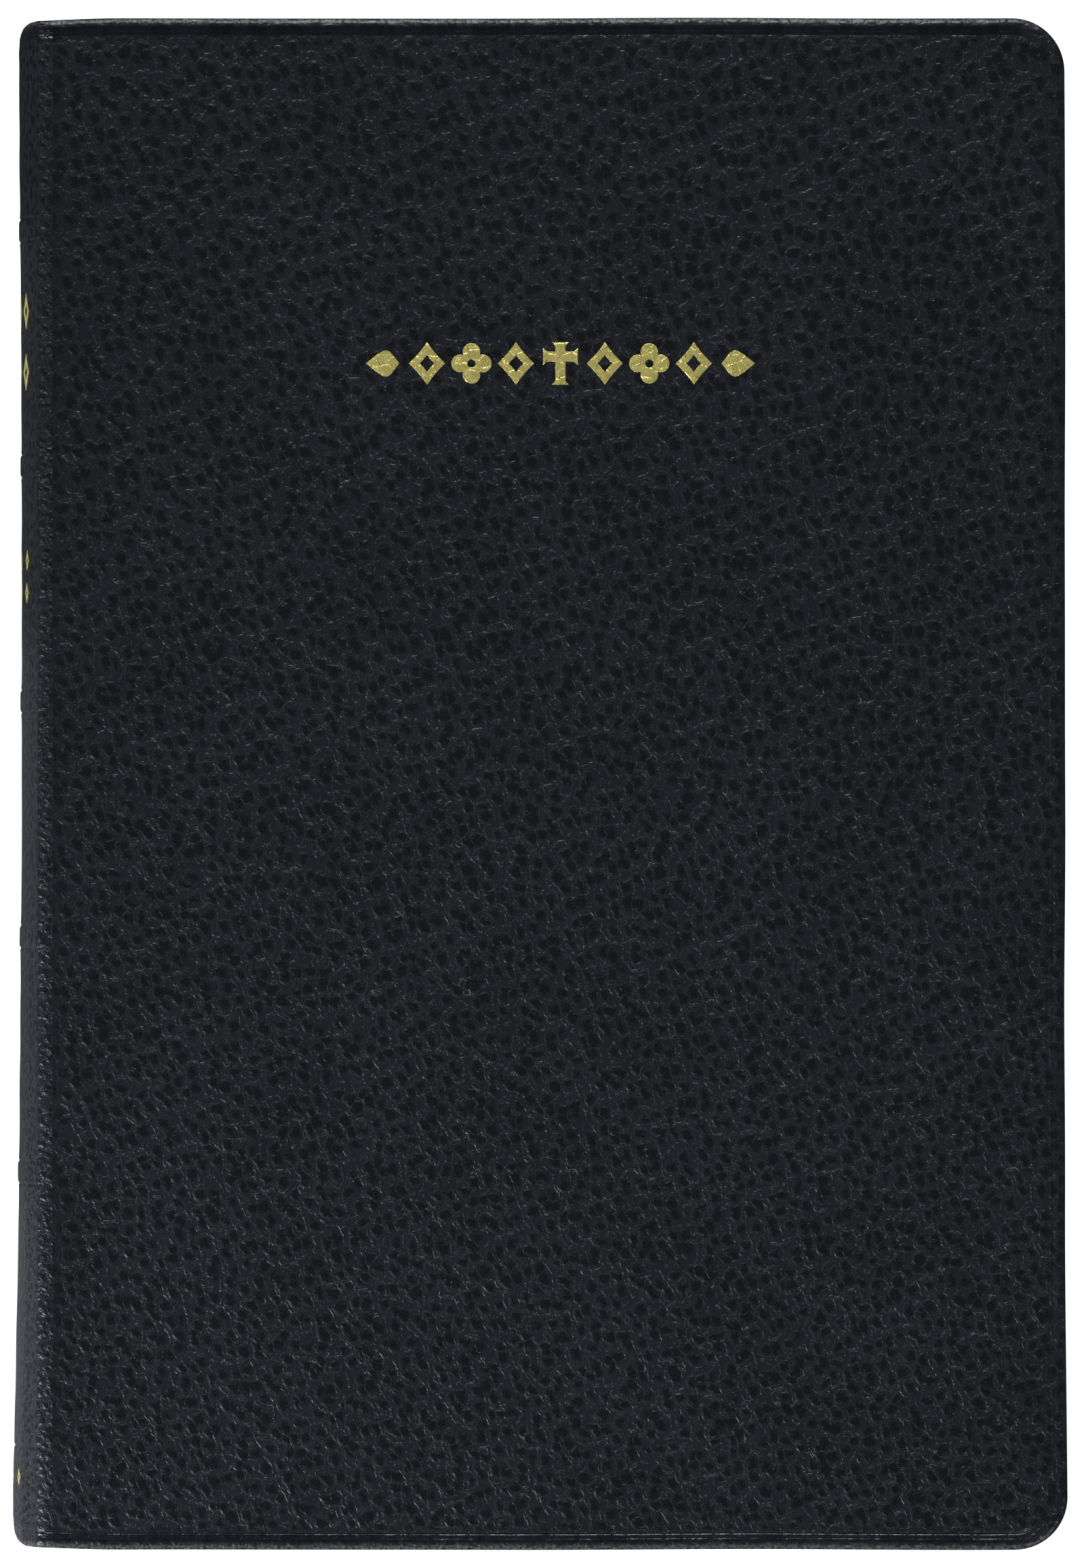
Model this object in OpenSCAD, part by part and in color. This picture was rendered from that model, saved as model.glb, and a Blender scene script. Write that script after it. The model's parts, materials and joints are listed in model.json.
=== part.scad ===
// A reference bible in a flexible leather binding.
// It lies on its back cover: the spine is towards -X, the fore-edge towards +X,
// the head (top of the page) towards +Y and the front cover on top.
// The origin is the middle of the footprint, on the surface that the book lies on.

/* [Book] */
// Width from the spine to the fore-edge of the covers
book_w = 147; // [125:1:170]
// Height from tail to head
book_h = 216; // [190:1:240]
// Thickness over the closed covers
book_t = 33; // [28:0.5:40]

/* [Covers] */
// Thickness of the leather
leather_t = 1; // [0.8:0.1:1.2]
// Thickness of the flexible boards inside the covers
board_t = 0.8; // [0.6:0.1:1.2]
// Radius of the covers' corners at the fore-edge
corner_r = 7.5; // [5:0.5:12]
// Width of the leather turned in over the edges of the boards
turn_in = 14; // [10:1:20]
// Distance that the covers stand past the leaves
square_w = 4.5; // [3:0.5:6]

/* [Spine] */
// Radius of the rounded spine over the leather
spine_r = 50; // [42:0.5:60]
// Radius of the shoulders between the spine and the covers
shoulder_r = 2; // [1.8:0.1:2.6]
// Number of raised bands
band_count = 5; // [3:1:6]
// Width of one raised band
band_w = 3; // [2:0.5:5]
// Rise of a raised band above the spine
band_rise = 0.25; // [0.1:0.05:0.5]
// Distance between raised bands
band_pitch = 33.3; // [24:0.1:36]
// Height of the topmost raised band above the middle of the spine
band_top = 78.3; // [70:0.1:84]

/* [Text block] */
// Number of sewn sections of leaves
section_count = 20; // [16:1:22]
// Sections that turn over with the front cover
front_turned = 3; // [1:1:6]
// Sections that turn over with the back cover
back_turned = 2; // [1:1:4]
// Radius of the leaves' corners at the fore-edge
leaf_corner_r = 7; // [4:0.5:10]
// Number of sewing stations along the spine
thread_count = 6; // [4:1:6]

/* [Stamping] */
// Width of the gold ornament on the front cover
ornament_w = 55; // [40:1:70]
// Height of the gold ornament on the front cover
ornament_h = 6; // [4:0.5:9]
// Height of the ornament's middle above the middle of the cover
ornament_y = 59.3; // [30:0.1:80]

/* [Hidden] */
// Thin sheets: mull and infill level with the turned-in leather, and the endpapers
ply_t = 0.25;
endpaper_t = 0.25;
// Play between sheets that are pasted or lie on each other
gap = 0.05;
eps = 0.01;

// Cover stack, counted from the outer face to the inner face
cover_t = leather_t + board_t + ply_t + endpaper_t;
fore_x = book_w / 2;
half_h = book_h / 2;
mid_z = book_t / 2;

// Spine: the caps at head and tail stand slightly proud of the leather between them
cap_rise = 0.3;
cap_w = 2.3;
cap_turn_in = 14;
spine_x = -fore_x + cap_rise + spine_r;
shoulder_x = spine_x - sqrt(pow(spine_r - shoulder_r, 2) - pow(mid_z - shoulder_r, 2));
shoulder_a = asin((mid_z - shoulder_r) / (spine_r - shoulder_r));
band_a = shoulder_a - 1;

// The joint: the cover leather starts beside the shoulder, and the fold's axis lies just over it
joint_x = shoulder_x;
joint_gap = 0.5;
hinge_x = joint_x - joint_gap / 2;
hinge_rise = 0.2;
joint_strip = 5;
board_x = joint_x + joint_strip;

// Layers behind the sections, as radii about the spine's axis
stiffener_t = 0.5;
hollow_t = 0.4;
mull_t = 0.25;
thread_t = 0.35;
stiffener_r = spine_r - leather_t - gap;
hollow_r = stiffener_r - stiffener_t - gap;
mull_r = hollow_r - hollow_t - gap;
thread_r = mull_r - mull_t - gap;
block_r = thread_r - thread_t - gap;
layer_half_h = half_h - cap_turn_in;

// Text block between the covers
block_z0 = cover_t + 2 * gap + endpaper_t + gap;
block_z1 = book_t - block_z0;
section_t = (block_z1 - block_z0) / section_count;
leaf_half_h = half_h - square_w;
block_edge_x = spine_x - sqrt(pow(block_r, 2) - pow(mid_z - block_z0, 2));
leaf_w = fore_x - square_w - block_edge_x;
fold_w = 0.6;
fold_end_x = max(hinge_x, block_edge_x + fold_w);
leaf_start_x = fold_end_x + gap;
block_a = asin((mid_z - block_z0) / block_r);
layer_a = block_a - 0.6;

// Endbands, mull flaps and foil
endband_r = 0.9;
mull_flap_w = 26;
lining_margin = 4;
foil_t = 0.1;
arc_n = 10;
spine_n = 28;

// Rows of gold ornaments on the spine: height above the middle, size of a lozenge, number across
spine_rows = [[66.8, 5.3, 4], [58.2, 5.3, 4], [31.6, 3, 4], [27, 3, 4], [-98, 2.5, 4]];
spine_pitch_a = 7.4;

leather_c = "#1b1c20";
paper_c = "#ece4d0";
board_c = "#8d8474";
cloth_c = "#d8d2c2";
thread_c = "#f3efe4";
gold_c = "#c8a850";

function pad2(i) = i < 10 ? str("0", i) : str(i);
function section_name(i) = str("section_", pad2(i));
function band_name(i) = str("spine_band_", i);
function thread_name(i) = str("sewing_thread_", i);

// Points of an arc about c from angle a0 to a1
function arc(c, r, a0, a1, n) =
    [for (i = [0:n]) let (a = a0 + (a1 - a0) * i / n) [c[0] + r * cos(a), c[1] + r * sin(a)]];

// A plan with square corners at x0 and rounded corners at x1
module fore_rounded(x0, x1, half, r) {
    polygon(concat(
        [[x0, -half]],
        arc([x1 - r, r - half], r, -90, 0, arc_n),
        arc([x1 - r, half - r], r, 0, 90, arc_n),
        [[x0, half]]
    ));
}

// A sheet from z0 to z1 with that plan
module sheet(x0, x1, half, r, z0, z1) {
    translate([0, 0, z0]) linear_extrude(z1 - z0) fore_rounded(x0, x1, half, r);
}

// A profile in X and Z drawn out from y0 to y1
module along_y(y0, y1) {
    translate([0, y1, 0]) rotate([90, 0, 0]) linear_extrude(y1 - y0) children();
}

// A curved layer about the spine's axis
module spine_layer(r0, r1, y0, y1, half_a) {
    translate([spine_x, 0, mid_z])
        rotate([90, 0, 0])
            rotate([0, 0, 180 - half_a])
                rotate_extrude(angle = 2 * half_a, $fn = 180)
                    translate([r0, -y1])
                        square([r1 - r0, y1 - y0]);
}

// Turns a front cover piece into its back cover twin
module to_back() {
    translate([0, 0, book_t]) mirror([0, 0, 1]) children();
}

// Cover pieces, drawn for the front cover
leather_z = book_t - leather_t;
board_z = leather_z - board_t;
ply_z = board_z - ply_t;
lining_z = ply_z - endpaper_t;

module cover_leather() {
    edge = leather_t;
    difference() {
        sheet(joint_x, fore_x, half_h, corner_r, ply_z, book_t);
        sheet(joint_x - 1, fore_x - edge, half_h - edge, corner_r - edge, board_z, leather_z);
        sheet(joint_x - 1, fore_x - turn_in, half_h - turn_in, 1, ply_z - 1, board_z + eps);
    }
}

module cover_board() {
    inset = leather_t + gap;
    color(board_c)
        sheet(board_x, fore_x - inset, half_h - inset, corner_r - inset, board_z, leather_z);
}

module cover_mull_flap() {
    color(cloth_c)
        sheet(board_x, board_x + mull_flap_w, half_h - turn_in - gap, 1, ply_z, board_z);
}

module cover_infill() {
    color(paper_c)
        sheet(
            board_x + mull_flap_w + gap, fore_x - turn_in - gap,
            half_h - turn_in - gap, 1, ply_z, board_z
        );
}

module cover_pastedown() {
    color(paper_c)
        sheet(
            joint_x + gap, fore_x - lining_margin, half_h - lining_margin,
            corner_r - lining_margin, lining_z, ply_z
        );
}

module cover_flyleaf() {
    top = lining_z - 2 * gap;
    color(paper_c)
        sheet(leaf_start_x, fore_x - square_w, leaf_half_h, leaf_corner_r, top - endpaper_t, top);
}

module front_leather() {
    color(leather_c) difference() {
        cover_leather();
        title_shape(book_t - foil_t, book_t + 1);
    }
}

module back_leather() {
    color(leather_c) to_back() cover_leather();
}

// Ornament: a cross between quatrefoils, lozenges and tapered leaves, nine figures in a row
figure_pitch = (ornament_w - ornament_h * 0.8) / 8;
title_x = (joint_x + fore_x) / 2;

module lozenge(w, h) {
    polygon([[w / 2, 0], [0, h / 2], [-w / 2, 0], [0, -h / 2]]);
}

module pierced_lozenge(w, h) {
    difference() {
        lozenge(w, h);
        lozenge(w * 0.4, h * 0.4);
    }
}

module cross(w, h, bar) {
    arm_y = h * 0.16;
    translate([-bar / 2, -h / 2]) square([bar, h]);
    translate([-w / 2, arm_y - bar / 2]) square([w, bar]);
}

module quatrefoil(h) {
    lobe = h * 0.22;
    difference() {
        union() {
            for (a = [0:90:270]) rotate(a) translate([h / 2 - lobe, 0]) circle(lobe, $fn = 24);
            circle(h * 0.27, $fn = 24);
        }
        circle(h * 0.1, $fn = 24);
    }
}

module tapered_leaf(w, h) {
    polygon([[-w / 2, 0], [-w * 0.1, h / 2], [w / 2, 0], [-w * 0.1, -h / 2]]);
}

module title_shape(z0, z1) {
    translate([title_x, ornament_y, z0]) linear_extrude(z1 - z0) {
        cross(ornament_h * 0.82, ornament_h, ornament_h * 0.24);
        for (side = [0, 1]) mirror([side, 0]) {
            translate([figure_pitch, 0]) pierced_lozenge(ornament_h * 0.86, ornament_h);
            translate([2 * figure_pitch, 0]) quatrefoil(ornament_h * 0.95);
            translate([3 * figure_pitch, 0]) pierced_lozenge(ornament_h * 0.86, ornament_h);
            translate([4 * figure_pitch, 0]) tapered_leaf(ornament_h * 0.8, ornament_h * 0.62);
        }
    }
}

module title_foil() {
    color(gold_c) title_shape(book_t - foil_t, book_t);
}

// Spine pieces

// Outer or inner line of the spine leather, from the back shoulder to the front shoulder
function spine_line(r, shoulder, end_x) =
    let (end_a = acos((end_x - shoulder_x) / shoulder))
    concat(
        arc([shoulder_x, shoulder_r], shoulder, -end_a, shoulder_a - 180, arc_n),
        arc([spine_x, mid_z], r, shoulder_a + 180, 180 - shoulder_a, spine_n),
        arc([shoulder_x, book_t - shoulder_r], shoulder, 180 - shoulder_a, end_a, arc_n)
    );

function backward(points) = [for (i = [len(points) - 1:-1:0]) points[i]];

module spine_profile() {
    end_x = joint_x - joint_gap;
    outer = spine_line(spine_r, shoulder_r, end_x);
    inner = spine_line(spine_r - leather_t, shoulder_r - leather_t, end_x);
    polygon(concat(outer, backward(inner)));
}

function band_y(i) = band_top - (i - 1) * band_pitch;

module spine_leather() {
    inner_r = spine_r - leather_t;
    color(leather_c) difference() {
        union() {
            along_y(-half_h, half_h) spine_profile();
            for (i = [1:band_count])
                spine_layer(
                    spine_r - leather_t / 2, spine_r + band_rise,
                    band_y(i) - band_w / 2, band_y(i) + band_w / 2, band_a
                );
            for (y = [-half_h, half_h - cap_w])
                spine_layer(spine_r - leather_t / 2, spine_r + cap_rise, y, y + cap_w, band_a);
            for (y = [-half_h, half_h - cap_turn_in + gap])
                spine_layer(
                    inner_r - leather_t * 0.8, inner_r + leather_t / 2,
                    y, y + cap_turn_in - gap, band_a
                );
        }
        for (i = [1:band_count])
            spine_layer(
                inner_r - 0.1, inner_r + band_rise + gap,
                band_y(i) - band_w / 2 - gap, band_y(i) + band_w / 2 + gap, band_a - 1
            );
    }
}

module spine_band(i) {
    inner_r = spine_r - leather_t;
    color(board_c)
        spine_layer(
            inner_r, inner_r + band_rise, band_y(i) - band_w / 2, band_y(i) + band_w / 2, band_a - 2
        );
}

module spine_foil() {
    color(gold_c)
        for (row = spine_rows, k = [0:row[2] - 1])
            translate([spine_x, row[0], mid_z])
                rotate([0, 90 - spine_pitch_a * (k - (row[2] - 1) / 2), 180])
                    translate([0, 0, spine_r - foil_t / 2])
                        linear_extrude(foil_t)
                            pierced_lozenge(row[1] * 0.8, row[1]);
}

module spine_stiffener() {
    color(board_c)
        spine_layer(
            stiffener_r - stiffener_t, stiffener_r, -layer_half_h, layer_half_h, layer_a
        );
}

// A flattened paper tube, which lets the spine leather stand off the sections
module spine_hollow() {
    wall = hollow_t / 3;
    color(paper_c) difference() {
        spine_layer(hollow_r - hollow_t, hollow_r, -layer_half_h, layer_half_h, layer_a);
        spine_layer(
            hollow_r - 2 * wall, hollow_r - wall,
            -layer_half_h - 1, layer_half_h + 1, layer_a - 0.6
        );
    }
}

module spine_mull() {
    color(cloth_c)
        spine_layer(mull_r - mull_t, mull_r, -layer_half_h, layer_half_h, layer_a);
}

// One row of link stitches from section to section across the back of the block
thread_w = 0.8;
thread_span = 180;

module sewing_thread(i) {
    y = thread_span * ((i - 1) / (thread_count - 1) - 0.5);
    color(thread_c)
        spine_layer(thread_r - thread_t, thread_r, y - thread_w / 2, y + thread_w / 2, block_a);
}

// A rolled band over the ends of the sections, at the head or at the tail
module endband(y) {
    color("#efe6d2")
        translate([spine_x, y, mid_z])
            rotate([90, 0, 0])
                rotate([0, 0, 180 - block_a])
                    rotate_extrude(angle = 2 * block_a, $fn = 96)
                        translate([block_r - endband_r, 0])
                            circle(endband_r, $fn = 32);
}

// Leaves

// Height of the lower face of section i, where section 1 lies under the front flyleaf
function section_z(i) = block_z1 - i * section_t;

// Spine end of section i, whose outer corner lies on the rounded back of the block
function section_x(i) =
    let (rise = max(abs(section_z(i) - mid_z), abs(section_z(i) + section_t - mid_z)))
    spine_x - sqrt(pow(block_r, 2) - pow(rise, 2));

function turns(i) = i <= front_turned || i > section_count - back_turned;

// A folded and sewn gathering of leaves: a turning one starts beyond its fixed fold
module section(i) {
    start_x = turns(i) ? leaf_start_x : section_x(i);
    color(paper_c)
        sheet(
            start_x, section_x(i) + leaf_w, leaf_half_h, leaf_corner_r,
            section_z(i), section_z(i) + section_t
        );
}

// The sewn folds of sections i0 to i1, which stay on the spine when their leaves turn
module section_folds(i0, i1) {
    color(paper_c)
        for (i = [i0:i1])
            translate([section_x(i), -leaf_half_h, section_z(i)])
                cube([fold_end_x - section_x(i), 2 * leaf_half_h, section_t]);
}

front_leather();
cover_board();  // front_board
cover_infill();  // front_infill
cover_mull_flap();  // front_mull_flap
cover_pastedown();  // front_pastedown
title_foil();
cover_flyleaf();  // front_flyleaf
back_leather();
to_back() cover_board();  // back_board
to_back() cover_infill();  // back_infill
to_back() cover_mull_flap();  // back_mull_flap
to_back() cover_pastedown();  // back_pastedown
to_back() cover_flyleaf();  // back_flyleaf
spine_leather();
spine_foil();
spine_stiffener();
spine_hollow();
spine_mull();
endband(leaf_half_h + endband_r + gap);  // headband
endband(-leaf_half_h - endband_r - gap);  // tailband
section_folds(1, front_turned);  // front_section_folds
section_folds(section_count - back_turned + 1, section_count);  // back_section_folds
for (i = [1:band_count])
    spine_band(i);
for (i = [1:thread_count])
    sewing_thread(i);
for (i = [1:section_count])
    section(i);
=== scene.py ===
"""Looks of a bible in a flexible leather binding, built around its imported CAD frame.

Lengths are in millimetres until a mesh is made. +X is the fore-edge, +Y the head of the
book and +Z its front cover.
"""
import json
import math

import bmesh
import bpy
import numpy as np
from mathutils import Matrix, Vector


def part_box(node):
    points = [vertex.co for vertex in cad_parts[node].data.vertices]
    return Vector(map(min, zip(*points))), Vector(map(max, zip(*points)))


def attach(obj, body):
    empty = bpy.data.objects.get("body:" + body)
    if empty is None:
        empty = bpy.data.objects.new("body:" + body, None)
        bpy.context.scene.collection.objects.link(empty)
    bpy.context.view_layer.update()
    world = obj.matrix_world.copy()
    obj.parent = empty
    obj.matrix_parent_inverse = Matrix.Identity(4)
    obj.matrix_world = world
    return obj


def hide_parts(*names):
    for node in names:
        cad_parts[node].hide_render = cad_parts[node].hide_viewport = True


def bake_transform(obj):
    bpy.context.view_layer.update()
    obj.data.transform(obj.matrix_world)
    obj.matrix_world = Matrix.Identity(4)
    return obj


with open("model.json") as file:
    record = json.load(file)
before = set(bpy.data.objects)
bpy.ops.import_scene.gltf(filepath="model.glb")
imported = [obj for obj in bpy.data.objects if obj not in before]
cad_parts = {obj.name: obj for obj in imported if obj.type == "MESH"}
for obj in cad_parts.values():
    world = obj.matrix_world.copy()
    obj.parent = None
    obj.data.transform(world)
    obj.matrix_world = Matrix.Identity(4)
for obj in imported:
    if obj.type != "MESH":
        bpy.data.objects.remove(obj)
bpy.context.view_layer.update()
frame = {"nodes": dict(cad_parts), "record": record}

MM = 0.001
TAU = math.tau


def box_mm(node):
    """Lowest and highest corner of a CAD node, in millimetres."""
    low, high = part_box(node)
    return np.array(low) / MM, np.array(high) / MM


# Places that the CAD frame gives
cover_low, cover_high = box_mm("front_leather")
board_low, board_high = box_mm("front_board")
spine_low, spine_high = box_mm("spine_leather")
FORE_X, HALF_H, TOP_Z = cover_high
MID_Z = TOP_Z / 2
SEAM_X = spine_high[0]
JOINT_END_X = board_low[0] - 0.3  # the cover bends from the seam to just short of its board
EDGE_T = TOP_Z - cover_low[2]
LEATHER_T = TOP_Z - board_high[2]
TURN_IN_DEPTH = TOP_Z - board_low[2]

# The spine's arc and the cover's corners, as in the CAD source
SPINE_R = 50
CAP_RISE = 0.3
SPINE_AXIS_X = spine_low[0] + CAP_RISE + SPINE_R
BLOCK_R = 47.25
CORNER_R = 7.5
TURN_IN = 14


# ---- Small tools

def smooth(value, start, end):
    """0 before start, 1 after end, and a smooth step between them."""
    t = np.clip((np.asarray(value, float) - start) / (end - start), 0, 1)
    return t * t * (3 - 2 * t)


def dent(value, centre, width):
    """A bell of height 1 at centre."""
    return np.exp(-((np.asarray(value, float) - centre) / width) ** 2)


def waves(x, y, length, seed, count=9):
    """Smooth noise from about -1 to 1, made of plane waves of about that length."""
    rng = np.random.default_rng(seed)
    total = 0.0
    for _ in range(count):
        angle, phase = rng.uniform(0, TAU, 2)
        size = length * rng.uniform(0.7, 1.7)
        along = x * math.cos(angle) + y * math.sin(angle)
        total = total + np.sin(along * TAU / size + phase)
    return total / (0.6 * count)


def ticks(low, high, step, fine_spots=(), fine_step=0.1, reach=0.5):
    """Values from low to high at about that step, and closer near the fine spots."""
    values = list(np.linspace(low, high, max(2, round((high - low) / step) + 1)))
    count = round(2 * reach / fine_step) + 1
    for spot in fine_spots:
        near = np.linspace(spot - reach, spot + reach, count)
        values = [v for v in values if not near[0] < v < near[-1] or v in (low, high)]
        values += [v for v in near if low < v < high]
    return np.array(sorted(set(np.round(values, 5))))


def spline(points, per_span=6):
    """A smooth line through the points (Catmull-Rom)."""
    p = np.array(points, float)
    p = np.vstack([2 * p[0] - p[1], p, 2 * p[-1] - p[-2]])
    line = []
    for i in range(1, len(p) - 2):
        for t in np.arange(per_span) / per_span:
            a = 2 * p[i]
            b = (p[i + 1] - p[i - 1]) * t
            c = (2 * p[i - 1] - 5 * p[i] + 4 * p[i + 1] - p[i + 2]) * t * t
            d = (3 * p[i] - p[i - 1] - 3 * p[i + 1] + p[i + 2]) * t ** 3
            line.append((a + b + c + d) / 2)
    line.append(p[-2])
    return np.array(line)


def put(name, data):
    """A new object in the scene."""
    made = bpy.data.objects.new(name, data)
    bpy.context.scene.collection.objects.link(made)
    return made


def make_piece(name, points, faces, materials, face_material=None, vectors=None, values=None,
               sharp=45):
    """A smooth closed mesh from points in millimetres, with stored texture places and values."""
    mesh = bpy.data.meshes.new(name)
    faces = [[int(v) for v in face] for face in faces]
    mesh.from_pydata((np.asarray(points, float) * MM).tolist(), [], faces)
    for material in materials:
        mesh.materials.append(material)
    if face_material is not None:
        mesh.polygons.foreach_set("material_index", face_material)
    for kind, field, layers in (("FLOAT_VECTOR", "vector", vectors), ("FLOAT", "value", values)):
        for key, value in (layers or {}).items():
            layer = mesh.attributes.new(key, kind, "POINT")
            layer.data.foreach_set(field, np.asarray(value, np.float32).ravel())
    bm = bmesh.new()
    bm.from_mesh(mesh)
    bmesh.ops.recalc_face_normals(bm, faces=bm.faces)
    bm.to_mesh(mesh)
    bm.free()
    mesh.shade_smooth()
    mesh.set_sharp_from_angle(angle=math.radians(sharp))
    return put(name, mesh)


def grid_faces(index):
    """Quads over a 2D array of vertex numbers."""
    a, b = index[:-1, :-1], index[1:, :-1]
    c, d = index[1:, 1:], index[:-1, 1:]
    return np.stack([a, b, c, d], -1).reshape(-1, 4).tolist()


def strip_faces(first, second):
    """Quads between two lines of vertex numbers, and triangles where one stands still."""
    faces = []
    for i in range(len(first) - 1):
        face = [first[i], first[i + 1], second[i + 1], second[i]]
        faces.append(list(dict.fromkeys(face)))
    return faces


# ---- Materials

def new_material(name, **values):
    """A material and its node tree, with the given plain values on its shader's sockets."""
    material = bpy.data.materials.new(name)
    material.use_nodes = True
    tree = material.node_tree
    for key, value in values.items():
        tree.nodes["Principled BSDF"].inputs[key.replace("_", " ")].default_value = value
    return material, tree


def source(tree, kind, output, **settings):
    """An output of a new node that has no inputs."""
    made = tree.nodes.new("ShaderNode" + kind)
    for key, value in settings.items():
        setattr(made, key, value)
    return made.outputs[output]


def node(kind, inputs, **settings):
    """Adds a node to the tree of its inputs: numbers, colours and other nodes' outputs."""
    tree = next(v.id_data for v in inputs.values() if isinstance(v, bpy.types.NodeSocket))
    made = tree.nodes.new("ShaderNode" + kind)
    for key, value in settings.items():
        setattr(made, key, value)
    for key, value in inputs.items():
        if isinstance(value, bpy.types.NodeSocket):
            tree.links.new(value, made.inputs[key])
        else:
            made.inputs[key].default_value = value
    return made


def calc(operation, *values):
    inputs = dict(enumerate(values))
    return node("Math", inputs, operation=operation).outputs[0]


def times(a, b):
    return calc("MULTIPLY", a, b)


def times_add(a, b, c):
    """a times b, plus c."""
    return calc("MULTIPLY_ADD", a, b, c)


def vector_calc(operation, *values):
    inputs = dict(enumerate(values))
    return node("VectorMath", inputs, operation=operation).outputs[0]


def ranged(value, low, high, to_low=0.0, to_high=1.0):
    """A smooth step of value from low to high, between two outputs."""
    inputs = {"Value": value, "From Min": low, "From Max": high, "To Min": to_low, "To Max": to_high}
    return node("MapRange", inputs, interpolation_type="SMOOTHSTEP").outputs[0]


def mixed(factor, colour_a, colour_b):
    inputs = {0: factor, 6: colour_a, 7: colour_b}
    return node("Mix", inputs, data_type="RGBA").outputs[2]


def place(tree, name=None):
    """Texture places in millimetres: those stored in a mesh, or an unbent CAD node's own."""
    if name:
        return source(tree, "Attribute", "Vector", attribute_name=name)
    own = source(tree, "TexCoord", "Object")
    return vector_calc("MULTIPLY", own, (1000, 1000, 1000))


def noise(vector, scale, detail=2.0, roughness=0.5, output=0):
    inputs = {"Vector": vector, "Scale": scale, "Detail": detail, "Roughness": roughness}
    return node("TexNoise", inputs).outputs[output]


def cells(vector, scale, feature="DISTANCE_TO_EDGE", random=0.95):
    inputs = {"Vector": vector, "Scale": scale, "Randomness": random}
    made = node("TexVoronoi", inputs, feature=feature, voronoi_dimensions="2D")
    return made.outputs["Distance"]


def wire(tree, height, colour, gloss):
    """Gives the shader its bump from a height in millimetres, its colour and its roughness."""
    shader = tree.nodes["Principled BSDF"]
    bump = node("Bump", {"Height": height, "Distance": MM, "Strength": 1.0})
    tree.links.new(bump.outputs[0], shader.inputs["Normal"])
    tree.links.new(colour, shader.inputs["Base Color"])
    tree.links.new(gloss, shader.inputs["Roughness"])


def stretched(vector, factors):
    return vector_calc("MULTIPLY", vector, factors)


LEATHER_ROUGH = 0.42
# Pale rim colour: partly wear, partly painted highlight of the rounded edge catching light.
WORN_AND_LIT_COLOUR = (0.10, 0.102, 0.10, 1)
PEBBLE_LEAN = -0.38
PEBBLE_SHAPE = (1.16, 0.86, 1)
PEBBLE_RANDOM = 0.72
FINER_TO_TAIL = -0.0006  # change of the grain's scale with each millimetre of height
PEBBLE_PULLS = ((0.5, 2, 0.9), (3.0, 1, 0.34))  # scale, detail and reach, in pebbles


def pebble_places(skin, pebble):
    """Texture places of the grain, pulled about unevenly: upright ones and leaning ones."""
    along = node("SeparateXYZ", {0: skin}).outputs[1]
    finer = times_add(along, FINER_TO_TAIL, 1)
    bent = skin
    for scale, detail, reach in PEBBLE_PULLS:
        pull = noise(skin, scale / pebble, detail, output=1)
        pull = vector_calc("SUBTRACT", pull, (0.5, 0.5, 0.5))
        pull = stretched(pull, (reach * pebble, reach * pebble, 0))
        bent = vector_calc("ADD", bent, pull)
    bent = node("VectorMath", {0: bent, "Scale": finer}, operation="SCALE").outputs[0]
    turn = {"Vector": bent, "Angle": PEBBLE_LEAN}
    leaning = node("VectorRotate", turn, rotation_type="Z_AXIS").outputs[0]
    return bent, stretched(leaning, PEBBLE_SHAPE)


def pebble_relief(skin, pebble, relief, fine):
    """Height of the grain in millimetres, and a factor that is 1 in its valleys."""
    bent, tall = pebble_places(skin, pebble)
    centre = cells(tall, 1 / pebble, "F1", random=PEBBLE_RANDOM)
    edge = cells(tall, 1 / pebble, random=PEBBLE_RANDOM)
    size = ranged(noise(skin, 0.9 / pebble, 1), 0.35, 0.65, -0.07, 0.07)
    centre = calc("ADD", centre, size)
    dome = ranged(centre, 0.14, 0.54, 1, 0)
    flat_top = ranged(centre, 0.25, 0.42, 1, 0)
    valley = calc("SUBTRACT", 1, flat_top)
    broken = ranged(noise(skin, 1.0, 2), 0.40, 0.60, 0.15, 1)
    ridge = times(ranged(edge, 0.0, 0.14, 1, 0), broken)
    small = ranged(cells(bent, 1.9 / pebble), 0.0, 0.28, 1, 0)
    small = times(times(small, valley), broken)
    rough_valley = times(fine, times_add(valley, 0.9, 0.1))
    height = times(dome, relief)
    for layer, share in ((ridge, 0.52), (small, 0.09), (rough_valley, 0.21)):
        height = times_add(layer, share * relief, height)
    return height, valley


def leather_colour(skin, grain, rim, valley, top_colour, valley_colour_and_sheen):
    """Dark tops and paler valleys, the valleys partly the leather's tone and partly painted highlight of
    slopes catching light; pale specks on the rim, partly wear and partly painted highlight of the edge
    catching light; and broad patches of shade.
    """
    tone = node("Mix", {0: grain, 2: 0.6, 3: valley}).outputs[0]
    # Paler valleys: partly the leather's own tone, partly painted highlight standing in for light caught
    # on the pebbles' slopes.
    colour = mixed(tone, top_colour, valley_colour_and_sheen)
    specks = ranged(noise(skin, 2.2, 3, 0.6), 0.40, 0.62)
    # Pale specks on the rim: partly wear, partly painted highlight of the rounded edge catching light.
    colour = mixed(times(rim, specks), colour, WORN_AND_LIT_COLOUR)
    patch = ranged(noise(skin, 0.05, 2), 0.38, 0.62)
    shade = mixed(patch, (0.90, 0.90, 0.92, 1), (1.1, 1.1, 1.1, 1))
    inputs = {0: 1.0, 6: colour, 7: shade}
    return node("Mix", inputs, data_type="RGBA", blend_type="MULTIPLY").outputs[2]


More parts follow.
